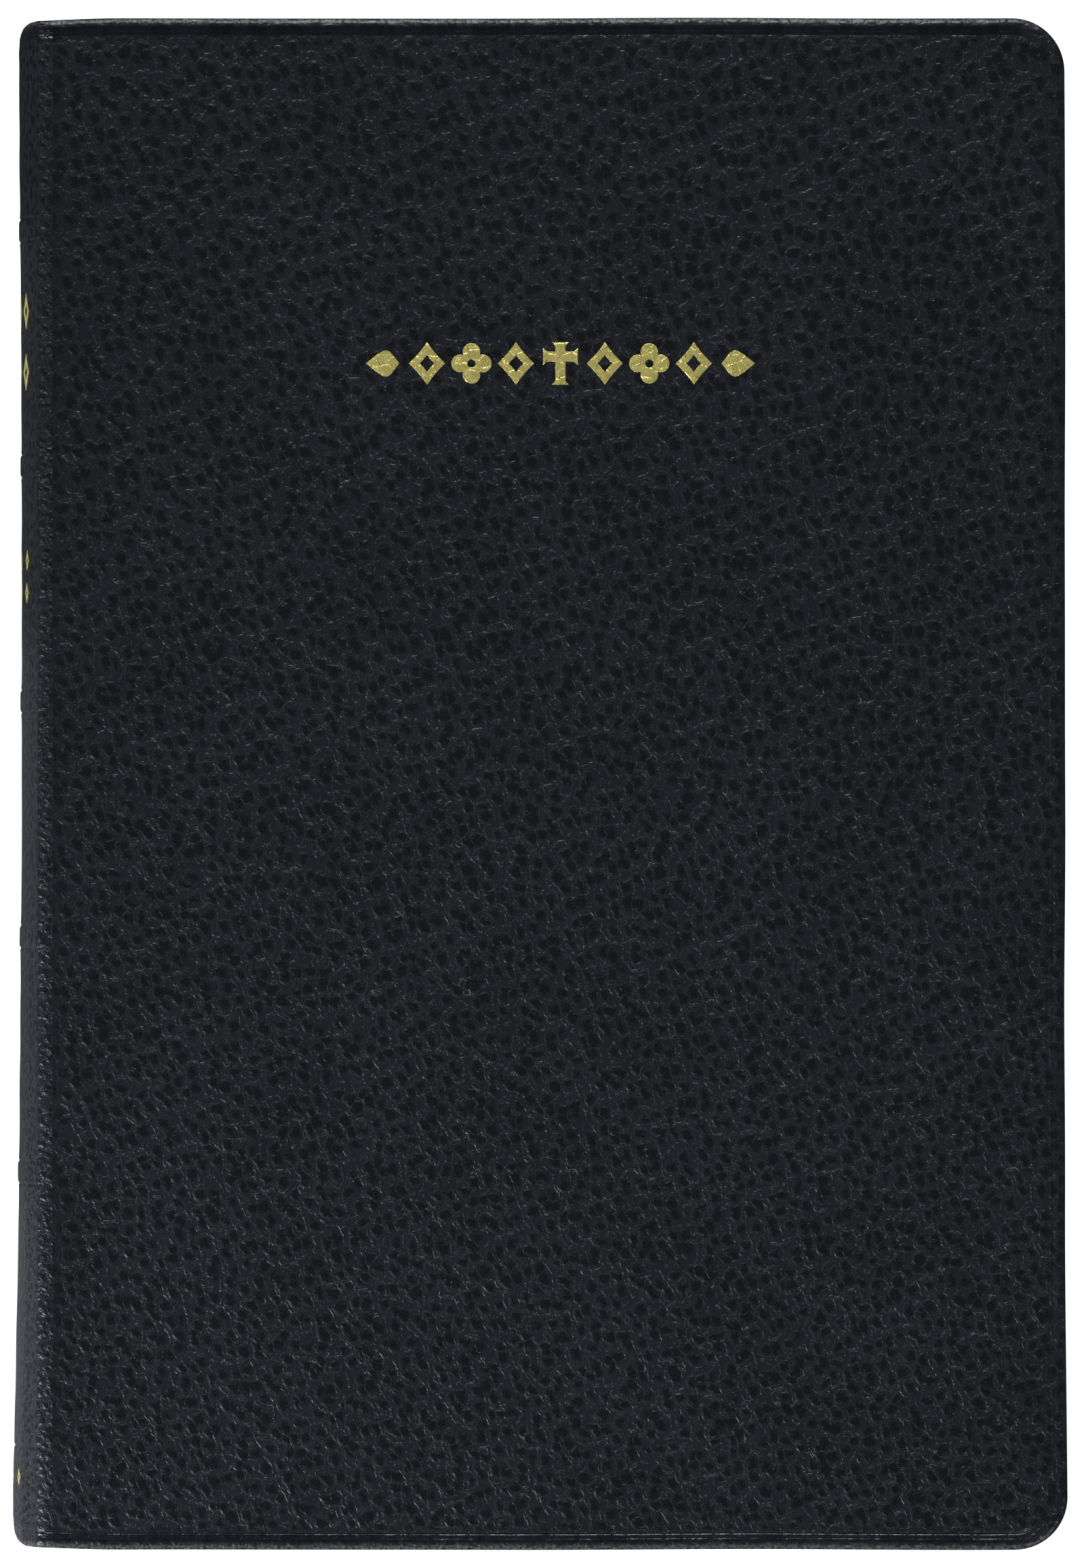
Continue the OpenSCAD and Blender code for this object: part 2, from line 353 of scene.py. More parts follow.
def leather_material(name, pebble, relief, top_colour, valley_colour_and_sheen):
    """Black pebbled leather: oval tops, valleys with fine sharp ridges, and pressed edges."""
    material, tree = new_material(name)
    skin = place(tree, "skin")
    grain = source(tree, "Attribute", "Fac", attribute_name="grain")
    rim = source(tree, "Attribute", "Fac", attribute_name="rim")
    fine = noise(skin, 2.6, 2, 0.5)
    height, valley = pebble_relief(skin, pebble, relief, fine)
    colour = leather_colour(skin, grain, rim, valley, top_colour, valley_colour_and_sheen)
    gloss = times_add(calc("SUBTRACT", fine, 0.5), 0.25, LEATHER_ROUGH)
    pressed = ranged(grain, 0.40, 0.60, 1, 0)
    gloss = times_add(pressed, -0.14, gloss)
    wire(tree, times(height, grain), colour, gloss)
    return material


def foil_material(name):
    """Stamped gold: creased where the pebbles lie under it, with a few dark cracks."""
    material, tree = new_material(name, Metallic=0.40)
    skin = place(tree, "skin")
    soft = noise(skin, 0.9, 3)
    fold = cells(vector_calc("ADD", skin, (7.3, 2.1, 0)), 0.62)
    ridge = ranged(fold, 0.0, 0.10, 1, 0)
    fine = noise(skin, 5.0, 4, 0.6)
    height = times(soft, 0.30)
    height = times_add(ridge, 0.055, height)
    height = times_add(fine, 0.035, height)
    tone = mixed(ranged(fine, 0.34, 0.60), (0.66, 0.53, 0.12, 1), (1.0, 0.89, 0.29, 1))
    cracked_parts = ranged(noise(skin, 1.7), 0.56, 0.62)
    crack = times(ranged(fold, 0.0, 0.05, 1, 0), cracked_parts)
    pinhole = ranged(noise(skin, 6.5, 1), 0.70, 0.74)
    gap = calc("MAXIMUM", crack, pinhole)
    colour = mixed(gap, tone, (0.012, 0.012, 0.014, 1))
    wire(tree, height, colour, ranged(soft, 0.3, 0.7, 0.22, 0.42))
    return material


def paper_fibres(vector):
    """Cloudy formation of paper and its fine fibres."""
    cloud = noise(vector, 0.25, 4, 0.6)
    fibre = noise(stretched(vector, (1, 0.25, 1)), 6, 4, 0.7)
    return cloud, fibre


LAID_PITCH = 0.9


def plain_paper_material(name, light, dark, coordinates=None, laid=False):
    material, tree = new_material(name, Roughness=0.85)
    vector = place(tree, coordinates)
    cloud, fibre = paper_fibres(vector)
    height = times(fibre, 0.02)
    factor = times_add(fibre, 0.4, times(cloud, 0.6))
    if laid:
        along = node("SeparateXYZ", {0: vector}).outputs[1]
        lines = calc("SINE", times(along, TAU / LAID_PITCH))
        height = times_add(lines, 0.006, height)
        factor = times_add(lines, 0.04, factor)
    colour = mixed(ranged(factor, 0.3, 0.7), dark, light)
    wire(tree, height, colour, ranged(fibre, 0.3, 0.7, 0.75, 0.92))
    return material


# Two columns of lines on a page, which are grey dashes and no letters
LINE_PITCH = 3.05
TEXT_TOP = 90
TEXT_LOW = -92
COLUMNS = ((-53, 0), (5, 58))
MIDDLE_RULE = (2.4, 2.6)
HEAD_RULE = (92.6, 92.85)
WORD_SCALE = 0.42
MARK_SCALE = 2.6
ROW_SHIFT = 37.7
COLUMN_SHIFT = 11.3


def between(value, low, high):
    above = calc("GREATER_THAN", value, low)
    return times(above, calc("LESS_THAN", value, high))


def line_noise(along, detail):
    inputs = {"W": along, "Scale": 1.0, "Detail": detail}
    return node("TexNoise", inputs, noise_dimensions="1D").outputs[0]


def dashes(x, y, seed):
    """Ink of broken lines, 1 where a dash is, and how far each line reaches."""
    lines = calc("DIVIDE", calc("SUBTRACT", TEXT_TOP, y), LINE_PITCH)
    row = calc("FLOOR", lines)
    within = calc("FRACT", lines)
    start = times_add(row, ROW_SHIFT, seed)
    words = line_noise(times_add(x, WORD_SCALE, start), 0.0)
    marks = line_noise(times_add(x, MARK_SCALE, start), 1.0)
    edge = ranged(within, 0.24, 0.34)
    edge = times(edge, ranged(within, 0.58, 0.68, 1, 0))
    ink = times(edge, ranged(words, 0.36, 0.40))
    ink = times(ink, ranged(marks, 0.35, 0.55, 0.35, 1.0))
    row_seed = {"W": calc("ADD", row, seed)}
    chance = node("TexWhiteNoise", row_seed, noise_dimensions="1D").outputs[0]
    reach = ranged(chance, 0.80, 1.0, 53, 16)
    return ink, reach


def page_ink(x, y):
    """The columns and rules of a page, and the ink that shows through from its other side."""
    in_rows = between(y, TEXT_LOW, TEXT_TOP)
    in_width = between(x, COLUMNS[0][0], COLUMNS[1][1])
    front = 0.0
    for number, (left, _) in enumerate(COLUMNS):
        ink, reach = dashes(x, y, COLUMN_SHIFT * number + 3)
        from_left = calc("SUBTRACT", x, left)
        ink = times(ink, between(from_left, 0, reach))
        front = calc("ADD", times(ink, in_rows), front)
    middle = times(between(x, *MIDDLE_RULE), in_rows)
    head = times(between(y, *HEAD_RULE), in_width)
    front = calc("MAXIMUM", front, calc("MAXIMUM", middle, head))
    back, _ = dashes(times(x, -1), calc("ADD", y, 1.2), 71.0)
    return front, times(back, times(in_rows, in_width))


def page_material(name):
    """Thin cream bible paper with two columns of grey dashes."""
    material, tree = new_material(name, Roughness=0.8)
    rest = place(tree, "rest")
    split = node("SeparateXYZ", {0: rest})
    front, back = page_ink(split.outputs[0], split.outputs[1])
    cloud, fibre = paper_fibres(rest)
    tone = mixed(cloud, (0.70, 0.64, 0.51, 1), (0.80, 0.75, 0.63, 1))
    tone = mixed(times(back, 0.10), tone, (0.30, 0.28, 0.24, 1))
    tone = mixed(times(front, 0.78), tone, (0.055, 0.05, 0.048, 1))
    wire(tree, times(fibre, 0.012), tone, ranged(fibre, 0.3, 0.7, 0.68, 0.85))
    return material


def gilt_material(name):
    """Gilt leaf edges: polished gold with the fine lines of the leaves."""
    material, tree = new_material(name, Metallic=0.62)
    rest = place(tree, "rest")
    leaves = noise(stretched(rest, (0.03, 0.03, 1)), 5, 2, 0.6)
    bundles = noise(stretched(rest, (0.01, 0.01, 1)), 1.6, 1)
    rubbed = noise(rest, 0.12, 3)
    height = times_add(leaves, 0.03, times(bundles, 0.06))
    tone = mixed(ranged(leaves, 0.35, 0.65), (0.50, 0.34, 0.10, 1), (0.82, 0.60, 0.20, 1))
    tone = mixed(ranged(rubbed, 0.52, 0.75, 0, 0.3), tone, (0.72, 0.62, 0.44, 1))
    wire(tree, height, tone, ranged(rubbed, 0.3, 0.7, 0.26, 0.42))
    return material


def board_material(name):
    material, tree = new_material(name, Roughness=0.9)
    own = place(tree)
    fleck = noise(own, 1.6, 5, 0.7)
    layers = noise(stretched(own, (0.05, 0.05, 1)), 6, 3)
    height = times_add(layers, 0.03, times(fleck, 0.05))
    tone = mixed(ranged(fleck, 0.35, 0.65), (0.17, 0.15, 0.12, 1), (0.30, 0.27, 0.22, 1))
    wire(tree, height, tone, ranged(fleck, 0.3, 0.7, 0.82, 0.95))
    return material


def weave_material(name, *axes):
    """A plain weave of threads that run across those axes, with gaps between them."""
    material, tree = new_material(name, Roughness=0.9)
    own = place(tree)
    split = node("SeparateXYZ", {0: own})
    wave = [calc("SINE", times(split.outputs[a], TAU / MULL_PITCH)) for a in axes]
    woven = times(*wave)
    fuzz = noise(own, 5, 3, 0.7)
    height = times_add(woven, 0.05, times(fuzz, 0.04))
    level = times_add(fuzz, 0.5, times(woven, 0.5))
    tone = mixed(ranged(level, 0.0, 0.6), MULL_GAP, MULL_THREAD)
    wire(tree, height, tone, ranged(fuzz, 0.3, 0.7, 0.8, 0.95))
    return material


def thread_material(name, light, dark, coordinates=None, stripe=None):
    """Twisted thread, in bands of two colours where stripe gives their width."""
    material, tree = new_material(name, Roughness=0.7)
    vector = place(tree, coordinates)
    split = node("SeparateXYZ", {0: vector})
    across = times(split.outputs[0], 9.0)
    twist = calc("ADD", across, times(split.outputs[1], 14.0))
    strand = calc("SINE", twist)
    fuzz = noise(vector, 9, 3, 0.7)
    height = times_add(strand, 0.015, times(fuzz, 0.02))
    if stripe:
        level = calc("SINE", times(split.outputs[0], math.pi / stripe))
        factor = ranged(level, -0.12, 0.12)
        shade = ranged(fuzz, 0.3, 0.7, 0.0, 0.18)
        tone = mixed(shade, mixed(factor, dark, light), (0.2, 0.17, 0.13, 1))
    else:
        level = times_add(strand, 0.25, fuzz)
        tone = mixed(ranged(level, 0.3, 0.8), dark, light)
    wire(tree, height, tone, ranged(fuzz, 0.3, 0.7, 0.55, 0.8))
    return material


# Valley colours are paler than the tops: partly the leather's tone, partly painted highlight for light
# caught on the slopes.
COVER_TOPS = (0.0040, 0.0044, 0.0062, 1)
COVER_VALLEYS_AND_SHEEN = (0.0125, 0.0134, 0.0180, 1)
SPINE_TOPS = (0.0030, 0.0034, 0.0050, 1)
SPINE_VALLEYS_AND_SHEEN = (0.0150, 0.0162, 0.0215, 1)
MULL_PITCH = 0.9
MULL_THREAD = (0.68, 0.64, 0.54, 1)
MULL_GAP = (0.40, 0.37, 0.30, 1)
SILK_LIGHT = (0.78, 0.73, 0.60, 1)
SILK_DARK = (0.035, 0.03, 0.035, 1)
SILK_STRIPE = 1.35

cover_leather = leather_material("cover_leather", 2.3, 0.17, COVER_TOPS, COVER_VALLEYS_AND_SHEEN)
spine_grain = leather_material("spine_leather", 1.35, 0.21, SPINE_TOPS, SPINE_VALLEYS_AND_SHEEN)
gold_foil = foil_material("gold_foil")
page_paper = page_material("bible_page")
gilt_edge = gilt_material("gilt_edge")
fold_paper = plain_paper_material("section_fold_paper", (0.78, 0.73, 0.61, 1), (0.66, 0.60, 0.48, 1))
endpaper = plain_paper_material("endpaper", (0.76, 0.71, 0.60, 1), (0.66, 0.60, 0.49, 1), "rest", True)
lining_paper = plain_paper_material("lining_paper", (0.50, 0.42, 0.30, 1), (0.40, 0.33, 0.23, 1))
grey_board = board_material("board")
mull_cloth = weave_material("mull_cloth", 0, 1)
spine_cloth = weave_material("spine_mull_cloth", 1, 2)
band_silk = thread_material("endband_silk", SILK_LIGHT, SILK_DARK, "wound", SILK_STRIPE)
linen_thread = thread_material("sewing_thread", (0.80, 0.78, 0.70, 1), (0.60, 0.57, 0.48, 1))


# ---- Leather

# The edge of the leather: a half-round nose, then a bead between two blind lines
NOSE_R = 1.1
NOSE_STEPS = 9
BEAD_AND_LINES = (
    (1.30, 0.01), (1.48, 0.04), (1.60, 0.08), (1.70, 0.13), (1.80, 0.13), (1.90, 0.08),
    (2.00, 0.05), (2.12, 0.06), (2.22, 0.13), (2.30, 0.18), (2.38, 0.18), (2.50, 0.10),
    (2.62, 0.02), (2.90, 0.01), (3.40, 0.00), (4.30, 0.00), (5.40, 0.00), (6.50, 0.00),
)
UNDER_INSETS = (TURN_IN, 11.5, 9, 6.8, 5, 3.6, 2.5, 1.7)
CORNER_STEPS = 14
GRID_STEP = 1.4
BEND_STEP = 0.28


def edge_profile():
    """Rows over the leather's edge, from the end of the turn-in round to the panel.

    Each row is (inset, depth, flat inset, inner inset, inner depth): the flat inset is
    where that place lies in the uncut skin, for the grain.
    """
    arc = TAU / 4 * (NOSE_R + EDGE_T / 2) / 2
    rows = []
    for inset in UNDER_INSETS:
        rows.append((inset, EDGE_T, NOSE_R - 2 * arc - (inset - NOSE_R), inset, TURN_IN_DEPTH))
    for step in range(NOSE_STEPS + 1):
        angle = math.pi * (step / NOSE_STEPS - 0.5)
        up = (1 + math.sin(angle)) / 2
        inset = NOSE_R * (1 - math.cos(angle))
        depth = EDGE_T * (1 - up)
        flat = NOSE_R - 2 * arc * (1 - step / NOSE_STEPS)
        inner = TURN_IN_DEPTH + (LEATHER_T - TURN_IN_DEPTH) * up
        rows.append((inset, depth, flat, NOSE_R, inner))
    for inset, depth in BEAD_AND_LINES:
        rows.append((inset, depth, inset, inset, LEATHER_T))
    return rows


EDGE = edge_profile()


def tooled(x, y):
    """How deep the edge is tooled: most at the tail, less at the head, faintly at the fore-edge."""
    along = (0.25 + 0.75 * smooth(FORE_X - x, 3, 8)) * (0.6 + 0.4 * smooth(x, -60, 20))
    return along * (1.3 - 0.75 * smooth(y, -100, 100))


def worn_and_lit_rim(x, inset):
    """Where the leather is pale: its outermost edge at the head and the tail, partly wear and partly
    painted highlight of the rounded edge catching light.
    """
    return (1 - smooth(inset, 0.25, 1.0)) * smooth(FORE_X - x, 1.5, 6)


def grain_near_edge(x, inset):
    """The tooled edge is pressed nearly smooth; the panel has its full grain."""
    least = 0.9 - 0.55 * smooth(FORE_X - x, 3, 8) * smooth(inset, 0.7, 1.4)
    by_seam = 1 - 0.35 * (1 - smooth(np.abs(x - SEAM_X), 0.2, 2.0))
    return (least + (1 - least) * smooth(inset, 2.4, 3.4)) * by_seam


def cover_outline(inset, columns, rows):
    """The cover's outline moved in by inset: along the tail, the fore-edge and the head."""
    radius = max(CORNER_R - inset, 0.6)
    cx = FORE_X - inset - radius
    cy = HALF_H - inset - radius
    xs = SEAM_X + (columns - SEAM_X) * (cx - SEAM_X) / (columns[-1] - SEAM_X)
    ys = rows * cy / rows[-1]
    turn = np.linspace(0, math.pi / 2, CORNER_STEPS + 2)[1:-1]
    parts = [
        np.column_stack([xs, np.full(len(xs), -cy - radius)]),
        np.column_stack([cx + radius * np.sin(turn), -cy - radius * np.cos(turn)]),
        np.column_stack([np.full(len(ys), cx + radius), ys]),
        np.column_stack([cx + radius * np.cos(turn), cy + radius * np.sin(turn)]),
        np.column_stack([xs[::-1], np.full(len(xs), cy + radius)]),
    ]
    return np.vstack(parts)


# How far the spine stands out past a plain arc, at heights from tail to head
SPINE_BULGE = ((-108, 2.15), (-100, 2.15), (-92, 2.0), (-80, 1.65), (-50, 1.25),
               (0, 0.9), (50, 0.95), (85, 1.15), (100, 1.3), (108, 1.35))
SPINE_LOW_X = SPINE_AXIS_X - SPINE_R
CAP_CORNER_R = 2.4


def spine_bulge(y):
    ys, outs = zip(*SPINE_BULGE)
    table = spline(np.column_stack([ys, outs]), 8)
    return np.interp(y, table[:, 0], table[:, 1])


def corner_droop(x, y):
    """How far the head and tail edges draw in towards the spine, and round its corners."""
    near = 1 - smooth(x, -75, -60)
    slow = 0.42 * near * (np.abs(y) / HALF_H) ** 12
    from_apex = np.clip(x - SPINE_LOW_X + spine_bulge(y), 0, CAP_CORNER_R)
    sharp = CAP_CORNER_R - np.sqrt(CAP_CORNER_R ** 2 - (CAP_CORNER_R - from_apex) ** 2)
    return -np.sign(y) * (slow + sharp * smooth(np.abs(y), 101, 108))


def settle(plan, depth, panel):
    """Puts flat leather in space: the plan flares a little and the panel swells."""
    x, y = plan[:, 0], plan[:, 1]
    out = (x - SEAM_X) / (FORE_X - SEAM_X)
    flare = 0.45 * smooth(-y, 60, 108) - 0.05
    wavy = 0.10 * waves(x, y, 46, 5)
    moved_x = x + out ** 2 * (flare + wavy)
    moved_y = y + 0.10 * (np.abs(y) / HALF_H) ** 4 * waves(x, y, 40, 6) + corner_droop(x, y)
    swell = 0.10 * waves(x, y, 34, 7) + 0.04 * waves(x, y, 11, 8)
    swell = panel * smooth(x - SEAM_X, 0, 6) * swell
    return np.column_stack([moved_x, moved_y, TOP_Z - depth + swell])


def cover_rings(columns, rows):
    """Rows over the cover's edge: outer points, inner points, flat places, grain and rim."""
    rings = []
    for inset, depth, flat_inset, inner_inset, inner_depth in EDGE:
        plan = cover_outline(inset, columns, rows)
        top = smooth(EDGE_T - depth, 0.8, EDGE_T)
        unevenness = 0.9 + 0.3 * waves(*plan.T, 5, 11)
        is_tooled = inset > NOSE_R and depth < EDGE_T / 2
        sunk = depth * (tooled(*plan.T) * unevenness if is_tooled else 1)
        inner_plan = cover_outline(inner_inset, columns, rows)
        flat_plan = cover_outline(flat_inset, columns, rows)
        rings.append((
            settle(plan, sunk, top * smooth(inset, 2.6, 8)),
            settle(inner_plan, np.full(len(plan), inner_depth), 0.0),
            np.column_stack([flat_plan, np.zeros(len(plan))]),
            grain_near_edge(plan[:, 0], inset),
            worn_and_lit_rim(plan[:, 0], inset if depth < EDGE_T else TURN_IN),
        ))
    return [list(kind) for kind in zip(*rings)]


def cover_faces(ring_size, column_count, row_count):
    """Faces of the cover's outer and inner layers, and of the strips that join them."""
    ring_points = len(EDGE) * ring_size
    grid_points = column_count * row_count
    rings = np.arange(ring_points).reshape(-1, ring_size)
    grid = ring_points + np.arange(grid_points).reshape(column_count, row_count)
    border = np.concatenate([
        grid[:, 0], np.full(CORNER_STEPS, grid[-1, 0]), grid[-1, :],
        np.full(CORNER_STEPS, grid[-1, -1]), grid[::-1, -1],
    ])
    layer = ring_points + grid_points
    faces = []
    for shift in (0, layer):
        faces += grid_faces(rings + shift)
        faces += strip_faces(rings[-1] + shift, border + shift)
        faces += grid_faces(grid + shift)
    seam = np.concatenate([rings[:, 0], grid[0, :], rings[::-1, -1]])
    faces += strip_faces(rings[0], rings[0] + layer)
    faces += strip_faces(seam, seam + layer)
    return faces


def cover_skin():
    """Points, faces, grain places and surface values of a front cover's leather, a closed shell."""
    bend = (JOINT_END_X - SEAM_X) / 2
    columns = ticks(SEAM_X, FORE_X - CORNER_R, GRID_STEP, [SEAM_X + bend], BEND_STEP, bend)
    rows = ticks(CORNER_R - HALF_H, HALF_H - CORNER_R, GRID_STEP)
    outer, inner, flat, grain, rim = cover_rings(columns, rows)
    gx, gy = (g.ravel() for g in np.meshgrid(columns, rows, indexing="ij"))
    plan = np.column_stack([gx, gy])
    from_edge = np.minimum(FORE_X - gx, HALF_H - np.abs(gy))
    outer.append(settle(plan, 0 * gx, smooth(from_edge, 2.6, 8)))
    inner.append(settle(plan, np.full(len(gx), LEATHER_T), 0.0))
    flat.append(np.column_stack([plan, np.zeros(len(gx))]))
    grain.append(grain_near_edge(gx, from_edge))
    rim.append(0 * gx)
    faces = cover_faces(len(outer[0]), len(columns), len(rows))
    values = {"grain": np.concatenate(grain + grain), "rim": np.concatenate(rim + rim)}
    return np.vstack(outer + inner), faces, np.vstack(flat + flat), values


def spine_arc(z):
    """The spine's plain arc: its x at height z."""
    return SPINE_AXIS_X - math.sqrt(SPINE_R ** 2 - (z - MID_Z) ** 2)


# The spine's outer line from the front seam to its apex: (x, drop below the top), then (x, z)
FROM_SEAM = (
    (SEAM_X, 0), (-69.68, 0.01), (-69.95, 0.04), (-70.25, 0.09), (-70.55, 0.15), (-70.85, 0.24),
    (-71.12, 0.37), (-71.32, 0.57), (-71.44, 0.90), (-71.50, 1.35), (-71.54, 1.95), (-71.62, 3.15),
)
UPPER_LINE = [(x, TOP_Z - drop) for x, drop in FROM_SEAM]
UPPER_LINE += [(spine_arc(z), z) for z in (27.6, 25.8, 23.8, 21.5, 19.0, MID_Z)]
BAND_YS = [78.3 - 33.3 * i for i in range(5)]
BAND_HALF = 1.6
FOOT_LINE_Y = -93.7
LINE_STEP = 0.12
LINE_REACH = 0.66


def spine_line():
    """Points, inward directions and lengths along the spine, from seam to seam."""
    upper = spline(UPPER_LINE)
    lower = upper[-2::-1] * (1, -1) + (0, TOP_Z)
    line = np.vstack([upper, lower])
    steps = np.hypot(*np.diff(line, axis=0).T)
    length = np.concatenate([[0], np.cumsum(steps)])
    from_seam = np.minimum(length, length[-1] - length)
    angle = math.pi / 2 * smooth(from_seam, 0, 8)
    side = np.where(np.arange(len(line)) < len(upper), 1, -1)
    inward = np.column_stack([np.sin(angle), -side * np.cos(angle)])
    return line, inward, length


LINE, INWARD, LENGTH = spine_line()
APEX = LENGTH[-1] / 2


def seam_distance(s):
    """How far a place at length s is from the nearer of the two seams."""
    return np.minimum(s, LENGTH[-1] - s)


def on_spine(s, y, depth):
    """A point of the spine at length s from the front seam, that deep under its surface."""
    x, z, in_x, in_z = (np.interp(s, LENGTH, row) for row in np.vstack([LINE.T, INWARD.T]))
    from_seam = seam_distance(s)
    out = spine_bulge(y) * smooth(from_seam, 0.8, 7)
    thinner = np.minimum(depth, EDGE_T - depth) * (np.abs(y) > HALF_H - NOSE_R)
    depth = depth - 0.5 * np.maximum(thinner, 0) * smooth(from_seam, 0.8, 2.4)
    moved_x = x + in_x * depth - out
    moved_y = y + 0.10 * (np.abs(y) / HALF_H) ** 4 * waves(x, y, 40, 6) + corner_droop(moved_x, y)
    return np.column_stack([moved_x, moved_y, z + in_z * depth])


def spine_relief(s, y):
    """Depth of the tooling on the spine; a raised band is a negative depth."""
    on_back = smooth(seam_distance(s), 1.0, 2.4)
    depth = 0.0 * y
    for band in BAND_YS:
        rise = smooth(y, band - 2.6, band - 0.8) - smooth(y, band + 0.8, band + 2.6)
        depth = depth - 0.16 * rise
        for side in (-1, 1):
            depth = depth + 0.15 * dent(y, band + side * BAND_HALF, 0.20)
    depth = depth + 0.17 * dent(y, FOOT_LINE_Y, 0.22)
    swell = 0.10 * waves(s, y, 30, 9) + 0.05 * waves(s, y, 9, 10)
    return on_back * (depth - swell * smooth(HALF_H - np.abs(y), 2.6, 6))


def cap_rounding(s, inset):
    """The caps at head and tail are rounder than the covers' edges."""
    on_back = smooth(seam_distance(s), 1.5, 6)
    return on_back * 0.45 * np.clip(1 - inset / 2.3, 0, 1) ** 2


def spine_skin():
    """Points, faces, grain places and surface values of the spine's leather, a closed shell."""
    spots = [band + side * BAND_HALF for band in BAND_YS for side in (-1, 1)]
    limit = HALF_H - EDGE[-1][0] - 0.6
    middle = ticks(-limit, limit, 1.5, spots + [FOOT_LINE_Y], LINE_STEP, LINE_REACH)
    tail = [(inset - HALF_H, depth, flat - HALF_H, inner - HALF_H, inner_depth, inset)
            for inset, depth, flat, inner, inner_depth in EDGE]
    inside = [(y, 0.0, y, y, LEATHER_T, HALF_H - abs(y)) for y in middle]
    head = [(-y, depth, -flat, -inner, inner_depth, inset)
            for y, depth, flat, inner, inner_depth, inset in tail[::-1]]
    rows = np.array(tail + inside + head)
    row_grid, s = np.meshgrid(np.arange(len(rows)), LENGTH, indexing="ij")
    y, depth, flat_y, inner_y, inner_depth, inset = rows[row_grid.ravel()].T
    s = s.ravel()
    top = smooth(EDGE_T - depth, 0.8, EDGE_T)
    outer = on_spine(s, y, depth + top * spine_relief(s, y) + cap_rounding(s, inset))
    inner = on_spine(s, inner_y, inner_depth)
    flat = np.column_stack([SEAM_X - s, flat_y, 0 * s])
    outside = np.arange(len(s)).reshape(row_grid.shape)
    within = outside + len(s)
    faces = grid_faces(outside) + grid_faces(within)
    for border in (outside[0], outside[-1], outside[:, 0], outside[:, -1]):
        faces += strip_faces(border, border + len(s))
    from_seam = seam_distance(s)
    grain = grain_near_edge(SEAM_X - from_seam, inset) * (1 - 0.35 * dent(from_seam, 2.0, 1.1))
    rim = worn_and_lit_rim(SEAM_X - from_seam, np.where(depth < EDGE_T, inset, TURN_IN))
    values = {"grain": np.concatenate([grain, grain]), "rim": np.concatenate([rim, rim])}
    return np.vstack([outer, inner]), faces, np.vstack([flat, flat]), values


def build_leather():
    points, faces, skin, values = cover_skin()
    front = make_piece("front_cover_skin", points, faces, [cover_leather], None,
                       {"skin": skin}, values)
    back_points = points * (1, 1, -1) + (0, 0, TOP_Z)
    back_skin = np.column_stack([2 * SEAM_X - LENGTH[-1] - skin[:, 0], skin[:, 1], skin[:, 2]])
    back = make_piece("back_cover_skin", back_points, faces, [cover_leather], None,
                      {"skin": back_skin}, values)
    points, faces, skin, values = spine_skin()
    spine = make_piece("spine_skin", points, faces, [spine_grain], None, {"skin": skin}, values)
    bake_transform(front)
    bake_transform(back)
    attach(spine, "text_block")
    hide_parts("front_leather")
    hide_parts("back_leather")
    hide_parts("spine_leather")


# ---- Gold stamping

FOIL_T = 0.16
FOIL_RISE = 0.035
FOIL_BEVEL = 0.07
TITLE_H = 6.0
TITLE_Y = 59.3
TITLE_PITCH = 6.275
SPINE_ROWS = ((66.8, 5.3), (58.2, 5.3), (31.6, 3.0), (27.0, 3.0), (-98.0, 2.5))
SPINE_ROW_COUNT = 4
SPINE_PITCH = 7.4 / 360 * TAU * SPINE_R


def circle_points(radius):
    turn = np.arange(20) / 20 * TAU
    return np.column_stack([radius * np.cos(turn), radius * np.sin(turn)])


def lozenge(w, h):
    """A lozenge with very slightly hollow sides."""
    corners = np.array([(w / 2, 0), (0, h / 2), (-w / 2, 0), (0, -h / 2)])
    line = []
    for i in range(4):
        a, b = corners[i], corners[(i + 1) % 4]
        for t in (0, 0.25, 0.5, 0.75):
            pull = 1 - 0.06 * math.sin(math.pi * t)
            line.append((a + (b - a) * t) * pull)
    return np.array(line)


def pierced_lozenge(w, h):
    return [lozenge(w, h), lozenge(w * 0.4, h * 0.4)]


def flared_cross(w, h, bar):
    """A cross whose four arms widen at their ends."""
    arm_y = h * 0.16
    half, end = bar / 2, bar * 0.85
    right = [(half, h / 2 - h * 0.09), (half, arm_y + half), (w / 2 - h * 0.09, arm_y + half),
             (w / 2, arm_y + end), (w / 2, arm_y - end), (w / 2 - h * 0.09, arm_y - half),
             (half, arm_y - half), (half, h * 0.09 - h / 2), (end, -h / 2)]
    line = [(end, h / 2)] + right + [(-x, y) for x, y in right[::-1]] + [(-end, h / 2)]
    return [np.array(line)]


def quatrefoil(h):
    """Four lobes round a pierced middle."""
    lobe, far = h * 0.22, h * 0.28
    line = []
    for turn in np.arange(96) / 96 * TAU:
        off = (turn + TAU / 8) % (TAU / 4) - TAU / 8
        side = lobe ** 2 - (far * math.sin(off)) ** 2
        reach = far * math.cos(off) + math.sqrt(side) if side > 0 else 0
        reach = max(reach, h * 0.27)
        line.append((reach * math.cos(turn), reach * math.sin(turn)))
    return [np.array(line), circle_points(h * 0.1)]


def tapered_leaf(w, h):
    tip, tail = np.array((w / 2, 0)), np.array((-w / 2, 0))
    top = spline([tail, (-w * 0.1, h / 2), tip], 5)
    return [np.vstack([top, top[-2:0:-1] * (1, -1)])]


